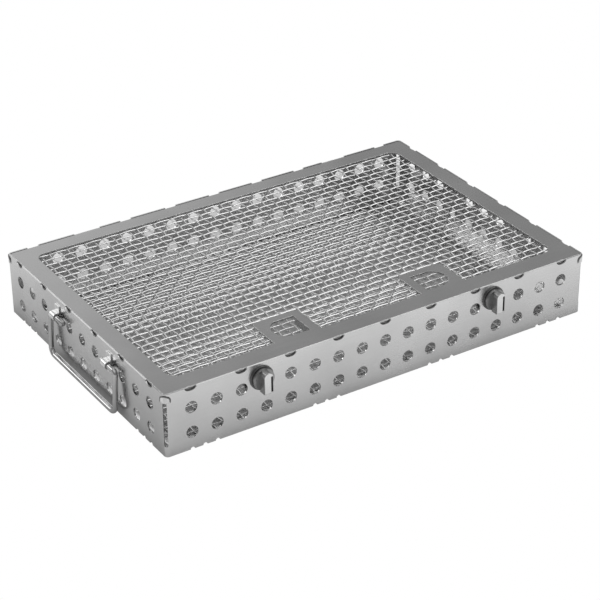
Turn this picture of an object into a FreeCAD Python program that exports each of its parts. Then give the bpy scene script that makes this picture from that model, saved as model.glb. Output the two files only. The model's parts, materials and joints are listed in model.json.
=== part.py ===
import FreeCAD, Part
import math
import os

# Sterilization container: a perforated sheet-steel tray with a woven-wire floor, a hinged
# wire-mesh lid held by two quarter-turn latches, and a wire bail handle on each short side.
# Millimetres. X runs along the tray, -Y is the latch side, Z is up.
# The origin is at the centre of the tray's underside.

os.makedirs("parts", exist_ok=True)

# Tray walls
tray_length = 362.0
tray_width = 241.0
tray_height = 50.0
wall_sheet = 1.2
corner_radius = 3.0
slit_width = 3.0
slit_bottom = 8.0
slit_rim_margin = 5.0

# Perforation of the walls
hole_pitch = 20.0
hole_diameter = 9.5
lower_row_height = 14.0
row_spacing = 20.0
hole_end_margin = 15.0
rim_notch_inset = 2.0
drain_notch_radius = 1.8
drain_notch_pitch = 10.0
drain_group_pitch = 100.0
drain_end_distance = 31.0

# Corner clips over the top of the slits
clip_sheet = 0.6
clip_width = 8.0
clip_height = 6.0
clip_rim_gap = 0.6

# Tray floor
flange_width = 14.0
flange_sheet = 1.2
flange_corner_radius = 8.0
floor_binding_width = 8.0

# Woven wire, floor and lid
mesh_wire = 1.1
mesh_pitch = 7.5
mesh_layer_gap = 0.02

# Lid
lid_sheet = 1.2
lid_side_gap = 0.4
lid_rear_gap = 1.4
lid_border = 16.0
lid_front_border = 17.5
lid_window_radius = 8.0
skirt_depth = 7.0
rear_skirt_inset = 1.3
lid_binding_inset = 2.0
lid_binding_setback = 2.5
rest_lug_width = 12.0
rest_lug_depth = 3.0
rest_lug_offset = 60.0

# Finger tabs at the front of the lid
tab_spacing = 126.0
tab_width = 38.5
tab_reach = 49.5
tab_radius = 5.0
finger_hole_length = 24.0
finger_hole_width = 23.0
finger_hole_bulge = 7.8
finger_hole_start = 19.8
finger_lip_depth = 5.0
finger_lip_length = 19.0
finger_lip_sheet = 1.2
finger_mesh_margin = 2.0

# Hinges behind the rear wall
hinge_end_distance = 71.0
hinge_width = 34.0
hinge_sheet = 1.2
knuckle_radius = 2.3
hinge_pin_radius = 1.2
hinge_clearance = 0.05
knuckle_gap = 0.2
hinge_overhang = 3.7
hinge_drop = 2.0
lid_knuckle_width = 13.6
strap_slot_clearance = 0.4
tray_leaf_height = 4.2
lid_leaf_width = 24.0
lid_leaf_depth = 6.6
hinge_pin_head_radius = 1.9
hinge_pin_head = 0.8

# Quarter-turn latches on the front wall
latch_end_distance = 81.0
latch_shift = -4.0
latch_drop = 11.5
latch_shaft_radius = 3.0
latch_clearance = 0.05
escutcheon_radius = 9.25
escutcheon_sheet = 1.2
knob_running_gap = 0.1
knob_disc_radius = 8.2
knob_disc_thickness = 2.6
wing_width = 7.5
wing_height = 16.6
wing_depth = 6.1
wing_edge_radius = 0.6
spacer_radius = 4.0
cam_gap = 0.2
cam_sheet = 2.0
cam_reach = 13.0
cam_hub_radius = 4.6
cam_start_angle = 175.0
cam_end_angle = 225.0
nut_across_flats = 8.0
nut_thickness = 2.5
shaft_end = 0.5

# Hooks of the lid that the cams turn over
hook_sheet = 1.8
hook_width = 4.0
hook_foot_height = 3.1
hook_cam_gap = 0.6
hook_hub_gap = 1.9

# Bail handles
bail_wire = 4.0
bail_width = 100.0
bail_leg = 33.5
bail_lean = 3.3
bail_corner_radius = 6.0
bail_end_length = 21.0
bail_end_radius = 2.6
bail_clearance = 0.1
bail_axis_height = 37.0
bail_axis_offset = 3.2
strap_spacing = 80.0
strap_shift = -3.0
strap_length = 7.0
strap_sheet = 1.0
strap_flange = 5.0

# Values that follow from the ones above
inner_length = tray_length - 2 * wall_sheet
inner_width = tray_width - 2 * wall_sheet
half_length = tray_length / 2
half_width = tray_width / 2
inner_radius = corner_radius - wall_sheet
slit_top = tray_height - slit_rim_margin
hinge_spacing = tray_length - 2 * hinge_end_distance
latch_spacing = tray_length - 2 * latch_end_distance
latch_height = tray_height - latch_drop
hole_radius = hole_diameter / 2
upper_row_height = lower_row_height + row_spacing
mesh_thickness = 2 * mesh_wire + mesh_layer_gap
lid_bottom = tray_height - lid_sheet
skirt_bottom = tray_height - skirt_depth
lid_half_length = inner_length / 2 - lid_side_gap
lid_front = -inner_width / 2 + lid_side_gap
lid_rear = inner_width / 2 - lid_rear_gap
skirt_sheet = lid_sheet
rear_skirt_outer = lid_rear - rear_skirt_inset
rear_skirt_inner = rear_skirt_outer - skirt_sheet
hinge_y = half_width + hinge_overhang
hinge_z = lid_bottom - hinge_drop - knuckle_radius
hinge_strap_top = hinge_z + knuckle_radius
hinge_strap_bottom = hinge_strap_top - hinge_sheet
latch_places = [latch_shift - latch_spacing / 2, latch_shift + latch_spacing / 2]
strap_places = [strap_shift - strap_spacing / 2, strap_shift + strap_spacing / 2]
wall_front = -half_width
cam_front = lid_front + skirt_sheet + cam_gap
cam_back = cam_front + cam_sheet
strap_outer_radius = bail_wire / 2 + bail_clearance + strap_sheet
first_leg_y = strap_places[1] + strap_length / 2 + bail_end_radius


def vec(x, y, z):
    return FreeCAD.Vector(x, y, z)


def block(x0, x1, y0, y1, z0, z1):
    return Part.makeBox(x1 - x0, y1 - y0, z1 - z0, vec(x0, y0, z0))


def rounded_block(x0, x1, y0, y1, z0, z1, radius):
    """A box whose four upright edges are rounded."""
    solid = block(x0, x1, y0, y1, z0, z1)
    upright = [e for e in solid.Edges if abs(e.tangentAt(e.FirstParameter).z) > 0.9]
    return solid.makeFillet(radius, upright)


def rod(start, direction, length, radius):
    return Part.makeCylinder(radius, length, start, direction)


def outline_prism(points, direction):
    """A closed outline of straight sides, extruded."""
    return Part.Face(Part.makePolygon(points + points[:1])).extrude(direction)


def joined(shapes):
    """Solids fused into one, with the seams between flush faces removed."""
    return shapes[0].fuse(shapes[1:]).removeSplitter()


def write(shape, name):
    shape.exportStep("parts/" + name + ".step")


def columns(span):
    """Places of the hole columns along a wall, symmetric about its middle."""
    count = int((span / 2 - hole_end_margin) / hole_pitch)
    return [i * hole_pitch for i in range(-count, count + 1)]


def drain_places(span):
    """Places of the small drain notches along a wall's foot, in groups of three."""
    last = span / 2 - drain_end_distance
    groups = [0.0] if last < drain_group_pitch / 2 else []
    centre = last
    while centre > 0 and last >= drain_group_pitch / 2:
        groups += [centre, -centre]
        centre -= drain_group_pitch
    return [g + k * drain_notch_pitch for g in groups for k in (-1, 0, 1)]


def wall_tools(span, taken, reach):
    """Holes, rim notches and drain notches of a wall that stands along X at Y = 0."""
    places = columns(span)
    tools = []
    along = vec(0, 1, 0)
    for x in places:
        tools.append(rod(vec(x, -reach, lower_row_height), along, 2 * reach, hole_radius))
        if all(abs(x - t) > clear for t, clear in taken):
            tools.append(rod(vec(x, -reach, upper_row_height), along, 2 * reach, hole_radius))
    for x in places[::2]:
        tools.append(rod(vec(x, -reach, tray_height), along, 2 * reach, hole_radius))
    for x in drain_places(span):
        tools.append(rod(vec(x, -reach, 0), along, 2 * reach, drain_notch_radius))
    return tools


def placed(shape, x, y, turn):
    """A copy turned about Z and moved in the floor plane."""
    copy = shape.copy()
    copy.rotate(vec(0, 0, 0), vec(0, 0, 1), turn)
    copy.translate(vec(x, y, 0))
    return copy


def corners():
    """The four outer corners with the direction of each one's diagonal, in degrees."""
    return [(sx * half_length, sy * half_width, math.degrees(math.atan2(sy, sx)))
            for sx in (-1, 1) for sy in (-1, 1)]


def corner_slits():
    """Upright slots with round ends, cut along the diagonal through each corner."""
    length = 4 * corner_radius
    r = slit_width / 2
    slot = joined([
        block(-length, length, -r, r, slit_bottom + r, slit_top - r),
        rod(vec(-length, 0, slit_bottom + r), vec(1, 0, 0), 2 * length, r),
        rod(vec(-length, 0, slit_top - r), vec(1, 0, 0), 2 * length, r),
    ])
    return [placed(slot, x, y, turn) for x, y, turn in corners()]


def build_walls():
    shell = rounded_block(-half_length, half_length, -half_width, half_width,
                          0, tray_height, corner_radius)
    hollow = rounded_block(-inner_length / 2, inner_length / 2, -inner_width / 2,
                           inner_width / 2, 0, tray_height, inner_radius)
    ring = shell.cut([hollow] + corner_slits())
    reach = 3 * wall_sheet

    def mitred(half_span, half_depth):
        inset = 4 * corner_radius
        return outline_prism([vec(-half_span - 1, -half_depth - 1, 0),
                              vec(half_span + 1, -half_depth - 1, 0),
                              vec(half_span - inset, -half_depth + inset, 0),
                              vec(-half_span + inset, -half_depth + inset, 0)],
                             vec(0, 0, tray_height))

    long_wedge = mitred(half_length, half_width)
    short_wedge = mitred(half_width, half_length)
    latch_clear = escutcheon_radius + hole_radius
    strap_clear = strap_length / 2 + hole_radius
    latch_taken = [(x, latch_clear) for x in latch_places]

    front_tools = [placed(t, 0, -half_width, 0)
                   for t in wall_tools(tray_length, latch_taken, reach)]
    bore = latch_shaft_radius + latch_clearance
    for x in latch_places:
        front_tools.append(rod(vec(x, -half_width - reach, latch_height),
                               vec(0, 1, 0), 2 * reach, bore))
    write(ring.common(long_wedge).cut(front_tools), "front_wall")

    rear_tools = [placed(t, 0, half_width, 180) for t in wall_tools(tray_length, [], reach)]
    slot_half = lid_knuckle_width / 2 + strap_slot_clearance
    slot_bottom = hinge_strap_bottom - strap_slot_clearance
    for x in hinge_places():
        rear_tools.append(block(x - slot_half, x + slot_half, half_width - reach,
                                half_width + reach, slot_bottom, tray_height + 1))
    write(ring.common(placed(long_wedge, 0, 0, 180)).cut(rear_tools), "rear_wall")

    for name, sign, turn in (("left_wall", -1, -90), ("right_wall", 1, 90)):
        strap_taken = [(sign * y, strap_clear) for y in strap_places]
        tools = [placed(t, sign * half_length, 0, turn)
                 for t in wall_tools(tray_width, strap_taken, reach)]
        write(ring.common(placed(short_wedge, 0, 0, turn)).cut(tools), name)


def build_corner_clips():
    """Thin arch-topped clips, bent round each corner over the top of its slit."""
    outer = rounded_block(-half_length - clip_sheet, half_length + clip_sheet,
                          -half_width - clip_sheet, half_width + clip_sheet,
                          0, tray_height, corner_radius + clip_sheet)
    inner = rounded_block(-half_length, half_length, -half_width, half_width,
                          0, tray_height, corner_radius)
    skin = outer.cut(inner)
    r = clip_width / 2
    top = tray_height - clip_rim_gap
    length = 4 * corner_radius
    arch = joined([
        block(-length, length, -r, r, top - clip_height, top - r),
        rod(vec(-length, 0, top - r), vec(1, 0, 0), 2 * length, r)
        .common(block(-length, length, -r, r, top - r, top)),
    ])
    clips = [skin.common(placed(arch, x, y, turn)) for x, y, turn in corners()]
    write(Part.makeCompound([s for c in clips for s in c.Solids]), "corner_clips")


def frame_strips(x0, x1, y0, y1, width_sides, width_front, width_rear, z0, z1):
    """Four butted strips around a rectangle, the front and rear ones running full length."""
    return [
        block(x0, x1, y0, y0 + width_front, z0, z1),
        block(x0, x1, y1 - width_rear, y1, z0, z1),
        block(x0, x0 + width_sides, y0 + width_front, y1 - width_rear, z0, z1),
        block(x1 - width_sides, x1, y0 + width_front, y1 - width_rear, z0, z1),
    ]


def mesh_wires(x0, x1, y0, y1, bottom, phase_x, phase_y):
    """Two layers of straight wires at the mesh pitch, the lower ones along X."""
    r = mesh_wire / 2
    lower = bottom + r
    upper = lower + mesh_wire + mesh_layer_gap
    margin = mesh_wire

    def places(low, high, phase):
        first = math.ceil((low + margin - phase) / mesh_pitch)
        last = math.floor((high - margin - phase) / mesh_pitch)
        return [phase + k * mesh_pitch for k in range(first, last + 1)]

    wires = [rod(vec(x0, y, lower), vec(1, 0, 0), x1 - x0, r) for y in places(y0, y1, phase_y)]
    wires += [rod(vec(x, y0, upper), vec(0, 1, 0), y1 - y0, r) for x in places(x0, x1, phase_x)]
    return wires


def build_floor():
    half_x, half_y = inner_length / 2, inner_width / 2
    plate = rounded_block(-half_x, half_x, -half_y, half_y, 0, flange_sheet, inner_radius)
    opening = rounded_block(-half_x + flange_width, half_x - flange_width,
                            -half_y + flange_width, half_y - flange_width,
                            0, flange_sheet, flange_corner_radius)
    depth = 2 * wall_sheet
    bites = []
    for x in drain_places(tray_length):
        for y in (-half_y - wall_sheet, half_y - wall_sheet):
            bites.append(rod(vec(x, y, 0), vec(0, 1, 0), depth, drain_notch_radius))
    for y in drain_places(tray_width):
        for x in (-half_x - wall_sheet, half_x - wall_sheet):
            bites.append(rod(vec(x, y, 0), vec(1, 0, 0), depth, drain_notch_radius))
    write(plate.cut([opening] + bites), "floor_frame")

    z0 = flange_sheet
    z1 = z0 + mesh_thickness
    edge = inner_radius
    strips = frame_strips(-half_x, half_x, -half_y, half_y, floor_binding_width,
                          floor_binding_width, floor_binding_width, z0, z1)
    rounding = rounded_block(-half_x, half_x, -half_y, half_y, z0, z1, edge)
    write(Part.makeCompound([s.common(rounding).Solids[0] for s in strips]), "floor_mesh_binding")

    inner_x = half_x - floor_binding_width
    inner_y = half_y - floor_binding_width
    write(Part.makeCompound(mesh_wires(-inner_x, inner_x, -inner_y, inner_y, z0, 0, 0)),
          "floor_mesh")


def tab_places():
    """Centre of each finger tab, with the side of it that its bulge faces."""
    return [(-tab_spacing / 2, -1), (tab_spacing / 2, 1)]


def finger_hole(x, side, grow, z0, z1):
    """A D-shaped hole: straight towards the lid's middle, bulging to the other side."""
    flat = x - side * (finger_hole_length / 2 + grow)
    shoulder = x + side * (finger_hole_length / 2 - finger_hole_bulge)
    tip = x + side * (finger_hole_length / 2 + grow)
    y0 = -half_width + finger_hole_start - grow
    y1 = -half_width + finger_hole_start + finger_hole_width + grow
    edges = [
        Part.LineSegment(vec(flat, y1, z0), vec(flat, y0, z0)).toShape(),
        Part.LineSegment(vec(flat, y0, z0), vec(shoulder, y0, z0)).toShape(),
        Part.Arc(vec(shoulder, y0, z0), vec(tip, (y0 + y1) / 2, z0), vec(shoulder, y1, z0)).toShape(),
        Part.LineSegment(vec(shoulder, y1, z0), vec(flat, y1, z0)).toShape(),
    ]
    return Part.Face(Part.Wire(edges)).extrude(vec(0, 0, z1 - z0))


def rim_notch_tools(span):
    """Shallow round cuts in the lid's edge beside the notches of a wall along X at Y = 0."""
    radius = (hole_radius ** 2 + rim_notch_inset ** 2) / (2 * rim_notch_inset)
    return [rod(vec(x, rim_notch_inset - radius, lid_bottom), vec(0, 0, 1), lid_sheet, radius)
            for x in columns(span)[::2]]


def build_lid_frame():
    window_front = -half_width + lid_front_border
    plate = rounded_block(-lid_half_length, lid_half_length, lid_front, lid_rear,
                          lid_bottom, tray_height, inner_radius)
    window = rounded_block(-half_length + lid_border, half_length - lid_border,
                           window_front, half_width - lid_border,
                           lid_bottom, tray_height, lid_window_radius)
    tab_end = -half_width + tab_reach
    tabs = []
    holes = []
    lips = []
    for x, side in tab_places():
        body = rounded_block(x - tab_width / 2, x + tab_width / 2,
                             window_front - tab_radius - 1, tab_end,
                             lid_bottom, tray_height, tab_radius)
        tabs.append(body)
        holes.append(finger_hole(x, side, 0, lid_bottom, tray_height))
        flat = x - side * finger_hole_length / 2
        lip_x = sorted((flat, flat - side * finger_lip_sheet))
        lip_y = -half_width + finger_hole_start + (finger_hole_width - finger_lip_length) / 2
        lips.append(block(lip_x[0], lip_x[1], lip_y, lip_y + finger_lip_length,
                          lid_bottom - finger_lip_depth, lid_bottom))
    edge_cuts = [placed(t, 0, -half_width, 0) for t in rim_notch_tools(tray_length)]
    for sign, turn in ((-1, -90), (1, 90)):
        edge_cuts += [placed(t, sign * half_length, 0, turn)
                      for t in rim_notch_tools(tray_width)]
    frame = joined([plate.cut(window)] + tabs).cut(holes + edge_cuts)
    write(joined([frame] + lips), "lid_frame")


def build_lid_skirts():
    """Upright strips under the lid's edge that drop inside the tray's walls."""
    x_edge = lid_half_length
    x_end = x_edge - inner_radius
    y0, y1 = lid_front + inner_radius, lid_rear - inner_radius
    strips = [
        block(-x_end, x_end, lid_front, lid_front + skirt_sheet, skirt_bottom, lid_bottom),
        block(-x_end, x_end, rear_skirt_inner, rear_skirt_outer, skirt_bottom, lid_bottom),
        block(-x_edge, -x_edge + skirt_sheet, y0, y1, skirt_bottom, lid_bottom),
        block(x_edge - skirt_sheet, x_edge, y0, y1, skirt_bottom, lid_bottom),
    ]
    half = lid_knuckle_width / 2
    slots = [block(x - half, x + half, rear_skirt_inner - 1, rear_skirt_outer + 1,
                   hinge_strap_bottom, hinge_strap_top) for x in hinge_places()]
    strips[1] = strips[1].cut(slots)
    write(Part.makeCompound(strips), "lid_skirts")


def lid_binding_box():
    """Outer and inner limits of the binding round the lid's mesh: x0, x1, y0, y1 of each."""
    inset = skirt_sheet + lid_binding_inset
    outer = (-lid_half_length + inset, lid_half_length - inset,
             lid_front + inset, rear_skirt_outer - inset)
    back = lid_binding_setback
    inner = (-half_length + lid_border - back, half_length - lid_border + back,
             -half_width + lid_front_border - back, half_width - lid_border + back)
    return outer, inner


def build_lid_mesh():
    outer, inner = lid_binding_box()
    z0 = lid_bottom - mesh_thickness
    strips = frame_strips(outer[0], outer[1], outer[2], outer[3], inner[0] - outer[0],
                          inner[2] - outer[2], outer[3] - inner[3], z0, lid_bottom)
    write(Part.makeCompound(strips), "lid_mesh_binding")

    holes = [finger_hole(x, side, finger_mesh_margin, z0 - 1, lid_bottom + 1)
             for x, side in tab_places()]
    wires = []
    for wire in mesh_wires(inner[0], inner[1], inner[2], inner[3], z0, mesh_pitch / 2, 0):
        wires += wire.cut(holes).Solids
    write(Part.makeCompound(wires), "lid_mesh")


def build_rest_lugs():
    """Small ledges inside the walls that the lid's skirts come down on."""
    z1 = skirt_bottom
    z0 = z1 - wall_sheet
    half = rest_lug_width / 2
    inner_x, inner_y = inner_length / 2, inner_width / 2
    lugs = [block(-half, half, -inner_y, -inner_y + rest_lug_depth, z0, z1)]
    for y in (-rest_lug_offset, rest_lug_offset):
        lugs.append(block(-inner_x, -inner_x + rest_lug_depth, y - half, y + half, z0, z1))
        lugs.append(block(inner_x - rest_lug_depth, inner_x, y - half, y + half, z0, z1))
    write(Part.makeCompound(lugs), "lid_rest_lugs")


def hinge_places():
    return [-hinge_spacing / 2, hinge_spacing / 2]


def build_hinge(name, x):
    along = vec(1, 0, 0)
    bore = hinge_pin_radius + hinge_clearance
    side_width = (hinge_width - lid_knuckle_width) / 2 - knuckle_gap
    left, right = x - hinge_width / 2, x + hinge_width / 2

    leaf_top = hinge_z - knuckle_radius + hinge_sheet
    parts = [block(left, right, half_width, half_width + hinge_sheet,
                   leaf_top - tray_leaf_height, leaf_top)]
    bores = []
    for start in (left, right - side_width):
        parts.append(rod(vec(start, hinge_y, hinge_z), along, side_width, knuckle_radius))
        parts.append(block(start, start + side_width, half_width, hinge_y,
                           hinge_z - knuckle_radius, leaf_top))
        bores.append(rod(vec(start, hinge_y, hinge_z), along, side_width, hinge_pin_radius))
    write(joined(parts).cut(bores), "tray_hinge_leaf_" + name)

    half = lid_knuckle_width / 2
    leaf_inner = rear_skirt_inner - hinge_sheet
    wide = lid_leaf_width / 2
    leaf = joined([
        rod(vec(x - half, hinge_y, hinge_z), along, lid_knuckle_width, knuckle_radius),
        block(x - half, x + half, leaf_inner, hinge_y, hinge_strap_bottom, hinge_strap_top),
        block(x - wide, x + wide, leaf_inner, rear_skirt_inner,
              lid_bottom - lid_leaf_depth, lid_bottom),
    ])
    write(leaf.cut(rod(vec(x - half, hinge_y, hinge_z), along, lid_knuckle_width, bore)),
          "lid_hinge_leaf_" + name)

    pin = joined([
        rod(vec(left, hinge_y, hinge_z), along, hinge_width, hinge_pin_radius),
        rod(vec(left - hinge_pin_head, hinge_y, hinge_z), along, hinge_pin_head,
            hinge_pin_head_radius),
        rod(vec(right, hinge_y, hinge_z), along, hinge_pin_head, hinge_pin_head_radius),
    ])
    write(pin, "hinge_pin_" + name)


def sector_plate(x, z, y0, y1, radius, start_angle, end_angle):
    """A pie-shaped plate in an upright plane, angles counted from +X towards +Z."""
    def on_rim(angle):
        a = math.radians(angle)
        return vec(x + radius * math.cos(a), y0, z + radius * math.sin(a))
    middle = (start_angle + end_angle) / 2
    centre = vec(x, y0, z)
    edges = [
        Part.LineSegment(centre, on_rim(start_angle)).toShape(),
        Part.Arc(on_rim(start_angle), on_rim(middle), on_rim(end_angle)).toShape(),
        Part.LineSegment(on_rim(end_angle), centre).toShape(),
    ]
    return Part.Face(Part.Wire(edges)).extrude(vec(0, y1 - y0, 0))


def build_latch(name, x):
    along = vec(0, 1, 0)
    z = latch_height
    bore = latch_shaft_radius + latch_clearance

    plate_front = wall_front - escutcheon_sheet
    plate = rod(vec(x, plate_front, z), along, escutcheon_sheet, escutcheon_radius)
    plate = plate.cut(rod(vec(x, plate_front, z), along, escutcheon_sheet, bore))
    write(plate, "latch_escutcheon_" + name)

    disc_back = plate_front - knob_running_gap
    disc_front = disc_back - knob_disc_thickness
    wing_front = disc_front - wing_depth
    half = wing_width / 2
    foot = z - wing_height / 2
    shoulder = z + wing_height / 2 - half
    edges = [
        Part.LineSegment(vec(x - half, wing_front, foot), vec(x + half, wing_front, foot)).toShape(),
        Part.LineSegment(vec(x + half, wing_front, foot), vec(x + half, wing_front, shoulder)).toShape(),
        Part.Arc(vec(x + half, wing_front, shoulder), vec(x, wing_front, shoulder + half),
                 vec(x - half, wing_front, shoulder)).toShape(),
        Part.LineSegment(vec(x - half, wing_front, shoulder), vec(x - half, wing_front, foot)).toShape(),
    ]
    wing = Part.Face(Part.Wire(edges)).extrude(vec(0, wing_depth, 0))
    front_edges = [e for e in wing.Edges if e.BoundBox.YMax < wing_front + wing_edge_radius / 2]
    wing = wing.makeFillet(wing_edge_radius, front_edges)
    disc = rod(vec(x, disc_front, z), along, knob_disc_thickness, knob_disc_radius)
    shaft_back = cam_back + nut_thickness + shaft_end
    shaft = rod(vec(x, disc_back, z), along, shaft_back - disc_back, latch_shaft_radius)
    write(joined([disc, wing, shaft]), "latch_knob_" + name)

    wall_back = wall_front + wall_sheet
    hole = rod(vec(x, wall_back, z), along, cam_back + nut_thickness - wall_back,
               latch_shaft_radius)
    spacer = rod(vec(x, wall_back, z), along, cam_front - wall_back, spacer_radius)
    write(spacer.cut(hole), "latch_spacer_" + name)

    cam = joined([
        rod(vec(x, cam_front, z), along, cam_sheet, cam_hub_radius),
        sector_plate(x, z, cam_front, cam_back, cam_reach, cam_start_angle, cam_end_angle),
    ])
    write(cam.cut(hole), "latch_cam_" + name)

    corner = nut_across_flats / math.sqrt(3)
    hexagon = [vec(x + corner * math.cos(math.radians(60 * k)), cam_back,
                   z + corner * math.sin(math.radians(60 * k))) for k in range(6)]
    write(outline_prism(hexagon, vec(0, nut_thickness, 0)).cut(hole), "latch_nut_" + name)


def build_lid_hook(name, x):
    """A J-shaped hook under the lid whose foot lies below the cam's sweep."""
    inner = x + cam_hub_radius + hook_hub_gap
    upright = x + cam_reach + hook_cam_gap
    outer = upright + hook_width
    drop = math.sqrt(cam_reach ** 2 - (inner - x) ** 2)
    foot_top = latch_height - drop - hook_cam_gap
    foot_bottom = foot_top - hook_foot_height
    y0 = lid_front + skirt_sheet
    outline = [vec(inner, y0, foot_bottom), vec(outer, y0, foot_bottom),
               vec(outer, y0, lid_bottom), vec(upright, y0, lid_bottom),
               vec(upright, y0, foot_top), vec(inner, y0, foot_top)]
    write(outline_prism(outline, vec(0, hook_sheet, 0)), "lid_hook_" + name)


def wire_path(points, radii):
    """A path of straight runs through the points, with an arc of its own radius at each bend."""
    edges = []
    last = points[0]
    for i, radius in enumerate(radii, start=1):
        before = (points[i - 1] - points[i]).normalize()
        after = (points[i + 1] - points[i]).normalize()
        half_turn = math.acos(max(-1, min(1, before.dot(after)))) / 2
        setback = radius / math.tan(half_turn)
        start = points[i] + before * setback
        end = points[i] + after * setback
        centre = points[i] + (before + after).normalize() * (radius / math.sin(half_turn))
        middle = centre + (points[i] - centre).normalize() * radius
        edges.append(Part.LineSegment(last, start).toShape())
        edges.append(Part.Arc(start, middle, end).toShape())
        last = end
    edges.append(Part.LineSegment(last, points[-1]).toShape())
    return Part.Wire(edges)


def build_bail(name, side):
    """A wire handle whose inturned ends turn in two straps. It hangs leaning out a little."""
    x = side * (half_length + bail_axis_offset)
    low_x = x + side * bail_leg * math.sin(math.radians(bail_lean))
    top = bail_axis_height
    bottom = top - bail_leg * math.cos(math.radians(bail_lean))
    rear_leg = first_leg_y
    front_leg = rear_leg - bail_width
    points = [vec(x, rear_leg - bail_end_length, top), vec(x, rear_leg, top),
              vec(low_x, rear_leg, bottom), vec(low_x, front_leg, bottom),
              vec(x, front_leg, top), vec(x, front_leg + bail_end_length, top)]
    radii = [bail_end_radius, bail_corner_radius, bail_corner_radius, bail_end_radius]
    path = wire_path(points, radii)
    section = Part.Wire([Part.Circle(points[0], vec(0, 1, 0), bail_wire / 2).toShape()])
    write(path.makePipeShell([section], True, False), "bail_" + name)

    wall = side * half_length
    bore = bail_wire / 2 + bail_clearance
    for place, y in zip(("front", "rear"), strap_places):
        y0 = y - strap_length / 2
        xs = sorted((wall, x))
        hump = joined([
            rod(vec(x, y0, top), vec(0, 1, 0), strap_length, strap_outer_radius),
            block(xs[0], xs[1], y0, y0 + strap_length,
                  top - strap_outer_radius, top + strap_outer_radius),
        ])
        tunnel = joined([
            rod(vec(x, y0, top), vec(0, 1, 0), strap_length, bore),
            block(xs[0], xs[1], y0, y0 + strap_length, top - bore, top + bore),
        ])
        flange_x = sorted((wall, wall + side * strap_sheet))
        reach = strap_outer_radius + strap_flange
        flange = block(flange_x[0], flange_x[1], y0, y0 + strap_length, top - reach, top + reach)
        write(joined([hump, flange]).cut(tunnel), "strap_" + name + "_" + place)


build_walls()
build_corner_clips()
build_floor()
build_lid_frame()
build_lid_skirts()
build_lid_mesh()
build_rest_lugs()
for side_name, place_x in zip(("left", "right"), hinge_places()):
    build_hinge(side_name, place_x)
for side_name, place_x in zip(("left", "right"), latch_places):
    build_latch(side_name, place_x)
    build_lid_hook(side_name, place_x)
build_bail("left", -1)
build_bail("right", 1)
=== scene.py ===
import bpy
import json
import math
from mathutils import Matrix, Vector


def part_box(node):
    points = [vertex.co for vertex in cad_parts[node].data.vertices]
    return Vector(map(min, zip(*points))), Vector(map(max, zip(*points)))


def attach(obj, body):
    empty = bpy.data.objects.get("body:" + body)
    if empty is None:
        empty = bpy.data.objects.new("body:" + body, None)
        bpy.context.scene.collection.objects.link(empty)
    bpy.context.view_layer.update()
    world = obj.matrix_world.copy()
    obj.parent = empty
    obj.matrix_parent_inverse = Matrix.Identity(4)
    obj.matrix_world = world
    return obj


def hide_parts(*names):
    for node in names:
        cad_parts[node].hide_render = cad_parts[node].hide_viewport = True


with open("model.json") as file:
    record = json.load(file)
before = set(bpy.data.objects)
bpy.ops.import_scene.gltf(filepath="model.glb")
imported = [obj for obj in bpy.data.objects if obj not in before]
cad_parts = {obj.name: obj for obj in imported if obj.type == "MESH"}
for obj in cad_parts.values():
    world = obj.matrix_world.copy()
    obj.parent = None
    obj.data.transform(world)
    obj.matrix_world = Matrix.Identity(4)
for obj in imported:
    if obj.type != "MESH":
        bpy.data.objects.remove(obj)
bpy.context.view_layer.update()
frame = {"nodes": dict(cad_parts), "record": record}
nodes = frame["nodes"]
bodyOf = {n: b for b, group in frame["record"]["behaviour"]["bodies"].items() for n in group}
mm = 0.001
weld = 0.002  # mm, vertices closer than this become one
print("frame loaded:", len(nodes), "nodes")


# helpers for working as by hand

def deselectAll():
    bpy.ops.object.select_all(action="DESELECT")


def pick(*objects):
    deselectAll()
    for o in objects:
        o.select_set(True)
    bpy.context.view_layer.objects.active = objects[0]


def edit(selectAll=True):
    bpy.ops.object.mode_set(mode="EDIT")
    bpy.ops.mesh.select_mode(type="VERT")
    bpy.ops.mesh.select_all(action="SELECT" if selectAll else "DESELECT")


def leaveEdit():
    bpy.ops.object.mode_set(mode="OBJECT")


# A CAD node's mesh is loose triangles, and this joins them. It runs in edit mode.
def mergeDoubles():
    bpy.ops.mesh.remove_doubles(threshold=weld * mm)


def selectFaces(obj, wanted):
    pick(obj)
    bpy.ops.object.mode_set(mode="EDIT")
    bpy.ops.mesh.select_mode(type="FACE")
    bpy.ops.mesh.select_all(action="DESELECT")
    leaveEdit()
    for face in obj.data.polygons:
        face.select = wanted(face)
    bpy.ops.object.mode_set(mode="EDIT")


def deleteFaces(obj, unwanted):
    selectFaces(obj, unwanted)
    bpy.ops.mesh.delete(type="FACE")
    leaveEdit()


def addModifier(obj, kind, **settings):
    m = obj.modifiers.new(kind.title(), kind)
    for key, value in settings.items():
        setattr(m, key, value)
    pick(obj)
    bpy.ops.object.modifier_apply(modifier=m.name)


def applyPlace(obj):
    pick(obj)
    bpy.ops.object.transform_apply(location=True, rotation=True, scale=True)


def copyOf(obj, name):
    twin = bpy.data.objects.new(name, obj.data.copy())
    bpy.context.scene.collection.objects.link(twin)
    twin.data.name = name
    return twin


def joined(objects, name):
    pick(*objects)
    bpy.ops.object.join()
    piece = bpy.context.object
    piece.name = name
    piece.data.name = name
    return piece


def smooth(obj, degrees=35):
    pick(obj)
    bpy.ops.object.shade_smooth_by_angle(angle=math.radians(degrees))


def fit(piece, nodeNames, material):
    piece.data.materials.clear()
    piece.data.materials.append(material)
    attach(piece, bodyOf[nodeNames[0]])
    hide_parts(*nodeNames)


# camera at the photograph's angle

cameraFit = {"azimuth": 32.388, "elevation": 29.788, "roll": -0.556, "distance": 1.49958,
             "target": (-0.01137, -0.0249, 0.025), "lens": 120.09, "sensor": 36.0, "farEnd": 40.0}


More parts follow.
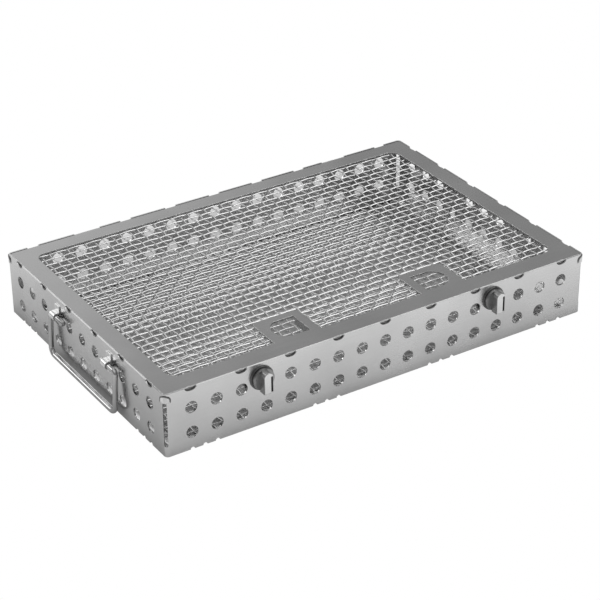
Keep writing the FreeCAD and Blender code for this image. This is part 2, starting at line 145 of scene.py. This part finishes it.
def makeCamera():
    az, el, roll = (math.radians(cameraFit[k]) for k in ("azimuth", "elevation", "roll"))
    back = Vector((-math.sin(az) * math.cos(el), -math.cos(az) * math.cos(el), math.sin(el)))
    level = Vector((math.cos(az), -math.sin(az), 0))
    right = level * math.cos(roll) + back.cross(level) * math.sin(roll)
    up = back.cross(right)
    bpy.ops.object.camera_add()
    cam = bpy.context.object
    cam.data.lens = cameraFit["lens"]
    cam.data.sensor_width = cameraFit["sensor"]
    cam.data.clip_end = cameraFit["farEnd"]
    turn = Matrix((right, up, back)).transposed().to_4x4()
    place = Vector(cameraFit["target"]) + back * cameraFit["distance"]
    cam.matrix_world = Matrix.Translation(place) @ turn
    bpy.context.scene.camera = cam


makeCamera()
bpy.context.scene.view_settings.view_transform = "Standard"
print("camera placed")


# materials

def linear(code):
    parts = [int(code[i:i + 2], 16) / 255 for i in (1, 3, 5)]
    return [c / 12.92 if c <= 0.04045 else ((c + 0.055) / 1.055) ** 2.4 for c in parts] + [1.0]


def addNode(tree, kind, settings=None, values=None, links=None):
    node = tree.nodes.new(kind)
    for key, value in (settings or {}).items():
        setattr(node, key, value)
    for key, value in (values or {}).items():
        node.inputs[key].default_value = value
    for key, source in (links or {}).items():
        tree.links.new(source, node.inputs[key])
    return node


def calculate(tree, operation, *terms):
    numbers = {i: t for i, t in enumerate(terms) if isinstance(t, (int, float))}
    sockets = {i: t for i, t in enumerate(terms) if i not in numbers}
    return addNode(tree, "ShaderNodeMath", {"operation": operation}, numbers, sockets).outputs[0]


def newMaterial(name):
    material = bpy.data.materials.new(name)
    material.use_nodes = True
    material.node_tree.nodes.clear()
    return material, material.node_tree


steelLook = {
    "contrast": (0.35, 0.65),  # the noise values that come out dark and light
    "relief": 0.02,  # mm, depth of the streaks
}


# Worked steel: fine streaks along its grain, or fine grit where it has none, faint cloudy patches
# from handling, and a roughness that follows both. Lengths are in mm, along is the grain's axis,
# and streak is the share of the streaks against the patches.
def workedSteel(name, dark, light, roughness, grainWidth, bump, patch, streak=0.5, along=None,
                grainLength=None):
    material, tree = newMaterial(name)
    place = addNode(tree, "ShaderNodeTexCoord").outputs["Object"]
    size = [1 / (grainWidth * mm)] * 3
    if along is not None:
        size[along] = 1 / (grainLength * mm)
    stretch = addNode(tree, "ShaderNodeMapping", values={"Scale": size}, links={"Vector": place})
    streaks = addNode(tree, "ShaderNodeTexNoise", values={"Scale": 1.0, "Detail": 4.0},
                      links={"Vector": stretch.outputs["Vector"]}).outputs["Fac"]
    clouds = addNode(tree, "ShaderNodeTexNoise",
                     values={"Scale": 1 / (patch * mm), "Detail": 3.0, "Roughness": 0.55},
                     links={"Vector": place}).outputs["Fac"]
    both = addNode(tree, "ShaderNodeMix", {"data_type": "FLOAT"}, {0: streak},
                   {2: clouds, 3: streaks})
    low, high = steelLook["contrast"]
    share = addNode(tree, "ShaderNodeMapRange", values={"From Min": low, "From Max": high},
                    links={"Value": both.outputs[0]}).outputs["Result"]
    colour = addNode(tree, "ShaderNodeMix", {"data_type": "RGBA"},
                     {6: linear(dark), 7: linear(light)}, {0: share}).outputs[2]
    rough = addNode(tree, "ShaderNodeMapRange",
                    values={"To Min": roughness[0], "To Max": roughness[1]},
                    links={"Value": share}).outputs["Result"]
    relief = addNode(tree, "ShaderNodeBump",
                     values={"Strength": bump, "Distance": steelLook["relief"] * mm},
                     links={"Height": streaks}).outputs["Normal"]
    shader = addNode(tree, "ShaderNodeBsdfPrincipled", values={"Metallic": 1.0},
                     links={"Base Color": colour, "Roughness": rough, "Normal": relief})
    addNode(tree, "ShaderNodeOutputMaterial", links={"Surface": shader.outputs["BSDF"]})
    return material


# Cold-rolled stainless sheet, finely brushed along the tray: soft reflections, faint streaks.
# The real grain is under 0.1 mm wide and is drawn coarser so that it shows.
sheetAlongX = workedSteel("brushedStainlessAlongX", "#D6D6D6", "#E4E4E4", roughness=(0.20, 0.30),
                          grainWidth=0.6, bump=0.06, patch=60.0, streak=0.25,
                          along=0, grainLength=60.0)
# The same sheet on the short sides, where the grain runs across the tray. Its darker base colour
# is painted shade.
sheetAlongYPaintedShade = workedSteel("brushedAlongYPaintedShade", "#C4C4C4", "#D4D4D4", roughness=(0.20, 0.30),
                          grainWidth=0.6, bump=0.06, patch=60.0, streak=0.25,
                          along=1, grainLength=60.0)
# Painted highlight on the upper edge of the front and left walls: a brighter and rougher base
# than the sheet.
paintedHighlightRimSteel = workedSteel("rimPaintedHighlight", "#EEEEEE", "#FAFAFA", roughness=(0.42, 0.55),
                       grainWidth=0.5, bump=0.05, patch=10.0)
# Stainless sheet of the lid, satin finished: even, with a soft bloom.
lidSteel = workedSteel("satinStainlessLid", "#BABABA", "#C6C6C6", roughness=(0.20, 0.26),
                       grainWidth=0.5, bump=0.05, patch=90.0, streak=0.3,
                       along=0, grainLength=60.0)
# Drawn stainless wire: bright, with fine draw lines that the weave hides.
wireSteel = workedSteel("drawnStainlessWire", "#CECECE", "#E6E6E6", roughness=(0.22, 0.36),
                        grainWidth=1.5, bump=0.10, patch=12.0)
# Thicker drawn wire bent cold into handles: polished by hands.
handleSteel = workedSteel("polishedStainlessRod", "#A0A0A0", "#BCBCBC", roughness=(0.10, 0.18),
                          grainWidth=0.5, bump=0.10, patch=15.0, along=1, grainLength=20.0)
# Strip pressed over the handle: bright with a light orange-peel from the press.
strapSteel = workedSteel("pressedStainlessStrip", "#CCCCCC", "#E2E2E2", roughness=(0.22, 0.34),
                         grainWidth=0.8, bump=0.20, patch=6.0)
# Knobs milled from bar: satin, with fine cutter marks, and a base darker than sheet that is
# painted shade.
knobSteelPaintedShade = workedSteel("knobPaintedShade", "#8A8A8A", "#A4A4A4", roughness=(0.24, 0.36),
                        grainWidth=0.3, bump=0.20, patch=8.0, along=2, grainLength=6.0)
# The wing's front, made brighter as a painted highlight.
paintedHighlightWingSteel = workedSteel("wingFrontPaintedHighlight", "#DCDCDC", "#ECECEC", roughness=(0.18, 0.26),
                        grainWidth=0.3, bump=0.08, patch=8.0, along=2, grainLength=8.0)
# Painted shade: dark steel for the rings behind the knobs, the clips' borders and the wings'
# grooves, darker than all the rest.
paintedShadeSteel = workedSteel("darkPaintedShade", "#5C5C5C", "#727272", roughness=(0.26, 0.36),
                        grainWidth=0.6, bump=0.05, patch=6.0, streak=0.4)
# Skirts folded from sheet: dull, with a darker base colour that is painted shade.
paintedShadeSkirtSteel = workedSteel("skirtPaintedShade", "#7C7C7C", "#8C8C8C", roughness=(0.36, 0.46),
                        grainWidth=0.6, bump=0.05, patch=40.0, streak=0.4,
                        along=0, grainLength=30.0)
print("materials made")


# sheet-metal pieces with their edges broken by deburring

deburr = {
    "flat": 1.0,  # faces that differ by less than this angle become one
    "steps": 2,
    "corner": 35.0,  # edges sharper than this are rounded
    "faceWeight": 50,
}


def deburred(obj, edge):
    pick(obj)
    edit()
    mergeDoubles()
    bpy.ops.mesh.dissolve_limited(angle_limit=math.radians(deburr["flat"]), delimit={"NORMAL"})
    leaveEdit()
    addModifier(obj, "BEVEL", width=edge * mm, segments=deburr["steps"], limit_method="ANGLE",
                angle_limit=math.radians(deburr["corner"]), use_clamp_overlap=True)
    smooth(obj)
    addModifier(obj, "WEIGHTED_NORMAL", keep_sharp=True, mode="FACE_AREA_WITH_ANGLE",
                weight=deburr["faceWeight"])
    return obj


walls = {
    "nodes": ["front_wall", "rear_wall", "left_wall", "right_wall"],
    "edge": 0.4,
    "seamLevel": 0.02, "seamReach": 4.0, "seamNormal": 0.6,  # these tell the mitred end faces
    "notch": 4.78, "notchDepth": 0.6,  # reach below the rim, and the share of it that is kept
    "rim": (1.3, 0.5),  # width and depth of the painted highlight along the rim
    "shortSide": 2.0,  # faces so near to the tray's ends belong to the short walls and their painted shade
}


# The four walls are bent from sheet, so their mitred end faces are deleted and the ends merged.
# The rim notches are half holes in the CAD nodes, and are made shallower here.
def makeWalls():
    low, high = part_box("front_wall")[0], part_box("rear_wall")[1]
    low.x, high.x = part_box("left_wall")[0].x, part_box("right_wall")[1].x
    parts = [copyOf(nodes[n], n + "Part") for n in walls["nodes"]]
    piece = joined(parts, "trayWalls")
    before = len(piece.data.polygons)

    def onMitre(face):
        c, n = face.center, face.normal
        outX = min(c.x - low.x, high.x - c.x)
        outY = min(c.y - low.y, high.y - c.y)
        level = abs(outX - outY) < walls["seamLevel"] * mm
        near = max(outX, outY) < walls["seamReach"] * mm
        slanted = min(abs(n.x), abs(n.y)) > walls["seamNormal"]
        return level and near and slanted and (c.x * n.x > 0) != (c.y * n.y > 0)

    deleteFaces(piece, onMitre)
    print("mitre faces deleted:", before - len(piece.data.polygons))
    for v in piece.data.vertices:
        if v.co.z > high.z - walls["notch"] * mm:
            v.co.z = high.z - (high.z - v.co.z) * walls["notchDepth"]
    deburred(piece, walls["edge"])
    fit(piece, walls["nodes"], sheetAlongX)
    piece.data.materials.append(sheetAlongYPaintedShade)
    piece.data.materials.append(paintedHighlightRimSteel)
    rimWidth, rimDepth = (r * mm for r in walls["rim"])
    shortSide = walls["shortSide"] * mm
    for face in piece.data.polygons:
        c = face.center
        # The front and left rims get the painted highlight.
        if c.z > high.z - rimDepth and min(c.x - low.x, c.y - low.y) < rimWidth:
            face.material_index = 2
        # The short walls get their sheet with painted shade.
        elif min(c.x - low.x, high.x - c.x) < shortSide and abs(c.y) < high.y - shortSide:
            face.material_index = 1
    print("walls made,", len(piece.data.polygons), "faces")


makeWalls()

# each piece's CAD node, edge rounding in mm and material
sheetPieces = {
    "trayFloorBorder": ("floor_frame", 0.2, sheetAlongX),
    "floorMeshBinding": ("floor_mesh_binding", 0.2, sheetAlongX),
    "lidSkirts": ("lid_skirts", 0.2, paintedShadeSkirtSteel),
    "lidMeshBinding": ("lid_mesh_binding", 0.2, lidSteel),
    "restLugs": ("lid_rest_lugs", 0.2, sheetAlongX),
}
for side in ("left", "right"):
    title = side.title()
    sheetPieces["trayHingeLeaf" + title] = ("tray_hinge_leaf_" + side, 0.12, sheetAlongX)
    sheetPieces["lidHingeLeaf" + title] = ("lid_hinge_leaf_" + side, 0.12, lidSteel)
    sheetPieces["hingePin" + title] = ("hinge_pin_" + side, 0.12, knobSteelPaintedShade)
    # The plates behind the knobs get the painted-shade steel.
    sheetPieces["latchPlate" + title] = ("latch_escutcheon_" + side, 0.25, paintedShadeSteel)
    sheetPieces["latchSpacer" + title] = ("latch_spacer_" + side, 0.12, knobSteelPaintedShade)
    sheetPieces["latchCam" + title] = ("latch_cam_" + side, 0.2, knobSteelPaintedShade)
    sheetPieces["latchNut" + title] = ("latch_nut_" + side, 0.25, knobSteelPaintedShade)
    sheetPieces["lidHook" + title] = ("lid_hook_" + side, 0.2, lidSteel)
    for end in ("front", "rear"):
        strap = "handleStrap" + title + end.title()
        sheetPieces[strap] = ("strap_" + side + "_" + end, 0.2, strapSteel)
for name, (node, edge, material) in sheetPieces.items():
    fit(deburred(copyOf(nodes[node], name), edge), [node], material)
print("sheet and turned pieces made:", len(sheetPieces))


# lid border, drawn out a little on all sides so that no dark gap shows along the walls

lidBorder = {"edge": 0.2, "growth": {"side": 0.3, "front": 0.3, "rear": 0.7}}


def makeLidBorder():
    border = copyOf(nodes["lid_frame"], "lidBorder")
    low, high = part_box("lid_frame")
    side, front, rear = (lidBorder["growth"][k] * mm for k in ("side", "front", "rear"))
    scaleY = 1 + (front + rear) / (high.y - low.y)
    border.scale = (1 + 2 * side / (high.x - low.x), scaleY, 1)
    border.location.y = low.y - front - low.y * scaleY
    applyPlace(border)
    deburred(border, lidBorder["edge"])
    fit(border, ["lid_frame"], lidSteel)


makeLidBorder()


# knobs: the wing's front carries a painted highlight, and a groove along its right edge carries
# painted shade

wing = {
    "groove": (1.6, 3.1),  # its sides, to the right of the knob's middle
    "grooveHeights": (31.3, 43.6),  # its ends above the table
    "grooveDepth": 1.8,
    "edge": 0.3,
    "touch": 0.05,  # a face so near to a plane lies on it
}


def makeKnob(name, node):
    knob = copyOf(nodes[node], name)
    pick(knob)
    edit()
    mergeDoubles()
    leaveEdit()
    low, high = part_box(node)
    middle, depth, touch = (low.x + high.x) / 2, wing["grooveDepth"] * mm, wing["touch"] * mm
    sides = [middle + g * mm for g in wing["groove"]]
    ends = [h * mm for h in wing["grooveHeights"]]

    def onFront(face):
        return face.center.y < low.y + touch

    def between(face, slack=0.0):
        return (sides[0] - slack < face.center.x < sides[1] + slack
                and ends[0] - slack < face.center.z < ends[1] + slack)

    cuts = [((x, 0, 0), (1, 0, 0)) for x in sides] + [((0, 0, z), (0, 0, 1)) for z in ends]
    for place, normal in cuts:
        selectFaces(knob, onFront)
        bpy.ops.mesh.bisect(plane_co=place, plane_no=normal)
        leaveEdit()
    selectFaces(knob, lambda face: onFront(face) and between(face))
    bpy.ops.mesh.extrude_region_move(TRANSFORM_OT_translate={"value": (0, depth, 0)})
    leaveEdit()
    deburred(knob, wing["edge"])
    fit(knob, [node], knobSteelPaintedShade)
    knob.data.materials.append(paintedHighlightWingSteel)
    knob.data.materials.append(paintedShadeSteel)
    for face in knob.data.polygons:
        # The groove's faces get painted shade.
        deep = low.y + wing["edge"] * mm < face.center.y < low.y + depth + touch
        if deep and between(face, touch):
            face.material_index = 2
        # The rest of the wing's front gets the painted highlight.
        elif onFront(face):
            face.material_index = 1
    return knob


for side in ("left", "right"):
    made = makeKnob("latchKnob" + side.title(), "latch_knob_" + side)
    print(made.name, "made,", len(made.data.polygons), "faces")


# clips over the corner slits, with a darker border that is painted shade

clip = {
    "edge": 0.12,
    "border": 0.9,
    "corner": 60.0,  # edges sharper than this are rounded
    "level": 0.3, "outward": -0.01,  # limits of an outer face's normal, upwards and outwards
}


def makeClips():
    clips = copyOf(nodes["corner_clips"], "cornerClips")
    pick(clips)
    edit()
    mergeDoubles()
    leaveEdit()

    def isOuter(face):
        c, n = face.center, face.normal
        outward = min(n.x * math.copysign(1, c.x), n.y * math.copysign(1, c.y))
        return abs(n.z) < clip["level"] and outward > clip["outward"]

    selectFaces(clips, isOuter)
    bpy.ops.mesh.inset(thickness=clip["border"] * mm, depth=0)
    leaveEdit()
    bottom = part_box("corner_clips")[0].z + clip["border"] * mm
    plain = {f.index for f in clips.data.polygons if f.select or f.center.z < bottom}
    fit(clips, ["corner_clips"], sheetAlongX)
    clips.data.materials.append(paintedShadeSteel)
    # The clips' borders get painted shade.
    for face in clips.data.polygons:
        face.material_index = 0 if face.index in plain else 1
    addModifier(clips, "BEVEL", width=clip["edge"] * mm, segments=deburr["steps"],
                limit_method="ANGLE", angle_limit=math.radians(clip["corner"]))
    smooth(clips)
    print("clips made,", len(clips.data.polygons), "faces")


makeClips()


# woven wire of the floor and the lid

weave = {
    "wire": 1.1, "pitch": 7.5,
    "sides": 6, "stepsPerPitch": 4,
    "crimp": (0.20, 0.55),  # rise and fall of the wires along the tray and across it
    "join": 0.005,  # lengths of one wire whose ends are closer than this become one
    "smooth": 60.0,
}


# One wire along axis 0 or 1 that waves over and under the wires it crosses. The wires along the
# tray stay nearly straight, and the others take most of the crimp. The mesh was rolled flat, so
# crossing wires are pressed a little into each other. Each wire starts a whole number of pitches
# before the mesh and is trimmed afterwards.
def waveWire(axis, start, across, middle, pitches, sign):
    r, pitch, lift = weave["wire"] / 2, weave["pitch"], weave["crimp"][axis]
    turn = (0, math.pi / 2, 0) if axis == 0 else (math.pi / 2, 0, 0)
    x, y = (start, across) if axis == 0 else (across, start)

    def level(k):
        return sign * lift * math.cos(math.pi * k / weave["stepsPerPitch"])

    bpy.ops.mesh.primitive_circle_add(vertices=weave["sides"], radius=r * mm, fill_type="NOTHING",
                                      location=(x * mm, y * mm, (middle + level(0)) * mm),
                                      rotation=turn)
    wire = bpy.context.object
    applyPlace(wire)
    edit()
    for k in range(2 * weave["stepsPerPitch"]):
        step = [0, 0, (level(k + 1) - level(k)) * mm]
        step[axis] = pitch / weave["stepsPerPitch"] * mm
        bpy.ops.mesh.extrude_region_move(TRANSFORM_OT_translate={"value": step})
    leaveEdit()
    offset = [0, 0, 0]
    offset[axis] = 2 * pitch * mm
    addModifier(wire, "ARRAY", count=math.ceil(pitches / 2) + 1, use_relative_offset=False,
                use_constant_offset=True, constant_offset_displace=offset,
                use_merge_vertices=True, merge_threshold=weave["join"] * mm)
    return wire


def trim(obj, axis, low, high):
    pick(obj)
    for limit, direction in ((low, -1), (high, 1)):
        edit()
        place, normal = [0, 0, 0], [0, 0, 0]
        place[axis], normal[axis] = limit * mm, direction
        bpy.ops.mesh.bisect(plane_co=place, plane_no=normal, clear_outer=True)
        leaveEdit()


# The phases give where the crossings lie, so that the weave keeps the places of the straight
# wires. Its crests touch the sheet, which lies above (1) or below (-1).
def weaveMesh(name, node, phaseX, phaseY, sheetSide, material):
    pitch = weave["pitch"]
    low, high = (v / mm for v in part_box(node))
    thick = weave["crimp"][1] + weave["wire"] / 2
    middle = high.z - thick if sheetSide > 0 else low.z + thick
    limits = ((low.x, high.x), (low.y, high.y))
    phases = (phaseX, phaseY)
    bundles = []
    for axis in (0, 1):
        other = 1 - axis
        first = math.ceil((limits[other][0] + weave["wire"] - phases[other]) / pitch)
        last = math.floor((limits[other][1] - weave["wire"] - phases[other]) / pitch)
        begin = math.floor((limits[axis][0] - phases[axis]) / pitch)
        span = (limits[axis][1] - limits[axis][0]) / pitch + 2
        for parity in (0, 1):
            row = first + parity
            count = (last - row) // 2 + 1
            sign = (1 if (begin + row) % 2 == 0 else -1) * (1 if axis == 0 else -1)
            wire = waveWire(axis, phases[axis] + begin * pitch, phases[other] + row * pitch,
                            middle, span, sign)
            trim(wire, axis, *limits[axis])
            offset = [0, 0, 0]
            offset[other] = 2 * pitch * mm
            addModifier(wire, "ARRAY", count=count, use_relative_offset=False,
                        use_constant_offset=True, constant_offset_displace=offset)
            bundles.append(wire)
    piece = joined(bundles, name)
    edit()
    bpy.ops.mesh.fill_holes(sides=weave["sides"])
    bpy.ops.mesh.normals_make_consistent(inside=False)
    leaveEdit()
    smooth(piece, weave["smooth"])
    fit(piece, [node], material)
    return piece


floorWeave = weaveMesh("floorWovenMesh", "floor_mesh", 0, 0, -1, wireSteel)
lidWeave = weaveMesh("lidWovenMesh", "lid_mesh", weave["pitch"] / 2, 0, 1, wireSteel)
print("meshes woven:", len(floorWeave.data.polygons), len(lidWeave.data.polygons), "faces")


# finger holes: the lid's wires stop short of them

finger = {
    "spacing": 126.0, "length": 24.0, "width": 23.0, "bulge": 7.8, "start": 19.8,  # as in the CAD
    "margin": 2.0,  # the wires stop this far outside the hole
    "chords": 6,
    "around": 4.0,  # only wires this near to the outline are cut
}


# Outline of one finger hole, grown by the margin: three straight sides and chords of its arc.
def fingerOutline(side):
    margin = finger["margin"]
    x = side * finger["spacing"] / 2
    flat = x - side * (finger["length"] / 2 + margin)
    tip = x + side * (finger["length"] / 2 + margin)
    shoulder = x + side * (finger["length"] / 2 - finger["bulge"])
    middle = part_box("front_wall")[0].y / mm + finger["start"] + finger["width"] / 2
    half, rise = finger["width"] / 2 + margin, abs(tip - shoulder)
    radius = (half ** 2 + rise ** 2) / (2 * rise)
    swing = math.asin(half / radius)
    points = [Vector((flat, middle + half, 0)), Vector((flat, middle - half, 0))]
    for k in range(finger["chords"] + 1):
        a = swing * (2 * k / finger["chords"] - 1)
        points.append(Vector((tip - side * radius * (1 - math.cos(a)),
                              middle + radius * math.sin(a), 0)))
    return points


# The wires round a hole are taken out, cut along its outline, cleared inside it and put back.
def cutFingerHoles(piece):
    for side in (-1, 1):
        outline = fingerOutline(side)
        reach = finger["around"]
        lowX, highX = min(p.x for p in outline) - reach, max(p.x for p in outline) + reach
        lowY, highY = min(p.y for p in outline) - reach, max(p.y for p in outline) + reach
        pick(piece)
        edit(False)
        leaveEdit()
        for v in piece.data.vertices:
            v.select = lowX < v.co.x / mm < highX and lowY < v.co.y / mm < highY
        bpy.ops.object.mode_set(mode="EDIT")
        bpy.ops.mesh.separate(type="SELECTED")
        leaveEdit()
        patch = [o for o in bpy.context.selected_objects if o != piece][0]
        middle = sum(outline, Vector()) / len(outline)
        sides = []
        for a, b in zip(outline, outline[1:] + outline[:1]):
            normal = Vector((b.y - a.y, a.x - b.x, 0)).normalized()
            if (middle - a).dot(normal) > 0:
                normal.negate()
            sides.append((a, normal))
            pick(patch)
            edit()
            bpy.ops.mesh.bisect(plane_co=a * mm, plane_no=normal)
            leaveEdit()
        deleteFaces(patch, lambda face: all((face.center / mm - a).dot(n) < 0 for a, n in sides))
        joined([piece, patch], piece.name)
        edit()
        mergeDoubles()
        bpy.ops.mesh.fill_holes(sides=0)
        leaveEdit()
    smooth(piece, weave["smooth"])


cutFingerHoles(lidWeave)
print("finger holes cut")


# wire handles bent from rod

rod = {
    "wire": 4.0, "sides": 24, "bendSteps": 10,
    "cornerRadius": 6.0, "endRadius": 2.6,
    "endLength": 21.0, "endChamfer": 0.5, "chamferSteps": 3,
    "corner": 60.0,  # edges sharper than this are chamfered
    "smooth": 50.0,
}


# The handle is bent upright under its axis and then leaned out as far as the CAD node does.
def bendHandle(name, node):
    low, high = (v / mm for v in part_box(node))
    r = rod["wire"] / 2
    side = -1 if low.x < 0 else 1
    x, outer = (high.x - r, low.x + r) if side < 0 else (low.x + r, high.x - r)
    rear, front, top = high.y - r, low.y + r, high.z - r
    drop = top - low.z - r
    leg, lean = math.hypot(outer - x, drop), math.atan2(abs(outer - x), drop)
    bottom = top - leg
    bpy.ops.mesh.primitive_circle_add(vertices=rod["sides"], radius=r * mm, fill_type="NGON",
                                      location=(x * mm, (rear - rod["endLength"]) * mm, top * mm),
                                      rotation=(math.pi / 2, 0, 0))
    handle = bpy.context.object
    applyPlace(handle)
    edit()

    def straight(dy, dz):
        bpy.ops.mesh.extrude_region_move(TRANSFORM_OT_translate={"value": (0, dy * mm, dz * mm)})

    def bend(y, z):
        bpy.ops.mesh.spin(steps=rod["bendSteps"], angle=math.pi / 2,
                          center=(x * mm, y * mm, z * mm), axis=(1, 0, 0))

    e, c = rod["endRadius"], rod["cornerRadius"]
    straight(rod["endLength"] - e, 0)
    bend(rear - e, top - e)
    straight(0, bottom + c - (top - e))
    bend(rear - c, bottom + c)
    straight(front + c - (rear - c), 0)
    bend(front + c, bottom + c)
    straight(0, top - e - (bottom + c))
    bend(front + e, top - e)
    straight(rod["endLength"] - e, 0)
    bpy.ops.mesh.select_all(action="SELECT")
    mergeDoubles()
    bpy.ops.mesh.normals_make_consistent(inside=False)
    bpy.ops.transform.rotate(value=side * lean, orient_axis="Y",
                             center_override=(x * mm, 0, top * mm))
    leaveEdit()
    addModifier(handle, "BEVEL", width=rod["endChamfer"] * mm, segments=rod["chamferSteps"],
                limit_method="ANGLE", angle_limit=math.radians(rod["corner"]))
    smooth(handle, rod["smooth"])
    handle.name = name
    handle.data.name = name
    fit(handle, [node], handleSteel)
    reach = [round(min(c[i] for c in handle.bound_box) / mm, 1) for i in range(3)]
    print(name, "starts at", reach, "and its CAD node at", [round(v, 1) for v in low])
    return handle


for side in ("left", "right"):
    made = bendHandle("handle" + side.title(), "bail_" + side)
    print(made.name, "made,", len(made.data.polygons), "faces")


# studio

studio = {
    "floorSize": 40.0,  # m, and all other lengths are in mm
    # the paper's own colour, and the painted shadow colour under the tray
    "paper": "#DADADA", "paintedShadowUnderTray": "#BABABA",
    "paintedContactShadow": (-4.0, 12.0),  # painted contact shadow: the paper's colour changes between these distances from the tray
    "shade": (50.0, 80.0),  # reach of the shadow zone, whose outline is painted, to the right and to the rear
    "shadeEdge": (-6.0, -1.0),
    "softening": 12.0, "softEnds": 4.0,  # the edge widens with distance, and is wider at the ends
    "mirrored": 0.76,  # strength of the white that the steel mirrors
    # where the steel's reflection of the paper darkens towards the tray, a painted shade
    "mirrorPaintedShade": (-12.0, 100.0),
}


# White paper. The camera sees it white, except in a shadow zone under the tray and to the right
# and the rear, whose outline is painted and whose edge softens away from the tray; in it the real
# light shades the paper, whose colour darkens as painted shadow towards and under the tray. The
# steel sees it darken towards the tray, a painted shade.
def makeFloor():
    bpy.ops.mesh.primitive_plane_add(size=studio["floorSize"])
    floor = bpy.context.object
    floor.name = "studioFloor"
    material, tree = newMaterial("paperSweep")
    place = addNode(tree, "ShaderNodeSeparateXYZ",
                    links={0: addNode(tree, "ShaderNodeTexCoord").outputs["Object"]})
    x, y = place.outputs[0], place.outputs[1]
    footX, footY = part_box("right_wall")[1].x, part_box("rear_wall")[1].y

    def maths(operation, *terms):
        return calculate(tree, operation, *terms)

    def ramp(value, low, high, top=1.0):
        return addNode(tree, "ShaderNodeMapRange",
                       values={"From Min": low * mm, "From Max": high * mm, "To Max": top},
                       links={"Value": value}).outputs["Result"]

    outside = maths("MAXIMUM", maths("SUBTRACT", maths("ABSOLUTE", x), footX),
                    maths("SUBTRACT", maths("ABSOLUTE", y), footY))
    shadeX, shadeY = (s * mm for s in studio["shade"])
    beside = maths("SUBTRACT", x, footX)
    behind = maths("SUBTRACT", y, footY)
    left = maths("SUBTRACT", maths("MULTIPLY", maths("MAXIMUM", behind, 0.0), shadeX / shadeY),
                 maths("ADD", x, footX))
    front = maths("SUBTRACT", maths("MULTIPLY", maths("MAXIMUM", beside, 0.0), shadeY / shadeX),
                  maths("ADD", y, footY))
    away = maths("MAXIMUM", maths("MAXIMUM", beside, behind), 0.0)
    spread = maths("ADD", maths("DIVIDE", away, studio["softening"] * mm), 1.0)
    sides = maths("DIVIDE", maths("MAXIMUM", left, front), spread)
    ends = maths("DIVIDE", maths("MAXIMUM", maths("SUBTRACT", beside, shadeX),
                                 maths("SUBTRACT", behind, shadeY)), studio["softEnds"])
    openFloor = ramp(maths("MAXIMUM", sides, ends), *studio["shadeEdge"])
    # The paper's colour: painted shadow under and near the tray.
    colour = addNode(tree, "ShaderNodeMix", {"data_type": "RGBA"},
                     {6: linear(studio["paintedShadowUnderTray"]), 7: linear(studio["paper"])},
                     {0: ramp(outside, *studio["paintedContactShadow"])}).outputs[2]
    paper = addNode(tree, "ShaderNodeBsdfDiffuse", links={"Color": colour})
    white = addNode(tree, "ShaderNodeEmission", values={"Strength": 1.0})
    rays = addNode(tree, "ShaderNodeLightPath").outputs
    # Glossy rays see the white fade out towards the tray, a painted shade.
    mirrored = maths("MULTIPLY", rays["Is Glossy Ray"],
                     ramp(outside, *studio["mirrorPaintedShade"], studio["mirrored"]))
    show = maths("MULTIPLY", openFloor, maths("MAXIMUM", rays["Is Camera Ray"], mirrored))
    mixed = addNode(tree, "ShaderNodeMixShader",
                    links={0: show, 1: paper.outputs[0], 2: white.outputs[0]})
    addNode(tree, "ShaderNodeOutputMaterial", links={"Surface": mixed.outputs[0]})
    floor.data.materials.append(material)


room = {
    "walls": 0.44,
    "ceiling": 1.25, "ceilingEdge": (40.0, 58.0),  # brightness, and where it begins and is full
    "softbox": 1.20, "softboxEdge": (32.0, 24.0),
    "softboxAzimuth": 5.0, "softboxElevation": 8.0,
}


# A grey room under a wide bright ceiling, with one softbox low behind the tray. The camera sees
# it white.
def makeWorld():
    world = bpy.data.worlds.new("studioRoom")
    bpy.context.scene.world = world
    world.use_nodes = True
    tree = world.node_tree
    tree.nodes.clear()
    ray = addNode(tree, "ShaderNodeTexCoord").outputs["Generated"]
    az, el = math.radians(room["softboxAzimuth"]), math.radians(room["softboxElevation"])
    towards = (math.sin(az) * math.cos(el), math.cos(az) * math.cos(el), math.sin(el))
    near = addNode(tree, "ShaderNodeVectorMath", {"operation": "DOT_PRODUCT"},
                   {1: towards}, {0: ray}).outputs["Value"]
    height = addNode(tree, "ShaderNodeSeparateXYZ", links={0: ray}).outputs["Z"]

    def glowing(value, start, full, brightness):
        return addNode(tree, "ShaderNodeMapRange", {"interpolation_type": "SMOOTHSTEP"},
                       {"From Min": start, "From Max": full, "To Min": room["walls"],
                        "To Max": brightness}, {"Value": value}).outputs["Result"]

    far, close = (math.cos(math.radians(a)) for a in room["softboxEdge"])
    low, high = (math.sin(math.radians(a)) for a in room["ceilingEdge"])
    level = calculate(tree, "MAXIMUM", glowing(near, far, close, room["softbox"]),
                      glowing(height, low, high, room["ceiling"]))
    camera = addNode(tree, "ShaderNodeLightPath").outputs["Is Camera Ray"]
    strength = addNode(tree, "ShaderNodeMix", {"data_type": "FLOAT"}, {3: 1.0},
                       {0: camera, 2: level})
    glow = addNode(tree, "ShaderNodeBackground", links={"Strength": strength.outputs[0]})
    addNode(tree, "ShaderNodeOutputWorld", links={"Surface": glow.outputs[0]})


# The key gives the wires along the tray, the front rim and the straps their bright lines, and
# the rim light those on the left side and the handle. Places and sizes are in m, power in W.
lamps = {
    "keySoftbox": {"place": (1.02, -1.04, 1.56), "size": 0.9, "power": 6},
    "rimSoftbox": {"place": (-1.05, 1.61, 0.98), "size": 0.8, "power": 5},
}


def makeLamps():
    for name, lamp in lamps.items():
        bpy.ops.object.light_add(type="AREA", location=lamp["place"])
        light = bpy.context.object
        light.name = name
        light.data.size = lamp["size"]
        light.data.energy = lamp["power"]
        light.visible_camera = False
        light.rotation_mode = "QUATERNION"
        light.rotation_quaternion = Vector(lamp["place"]).to_track_quat("Z", "Y")


makeFloor()
makeWorld()
makeLamps()
print("studio lit")
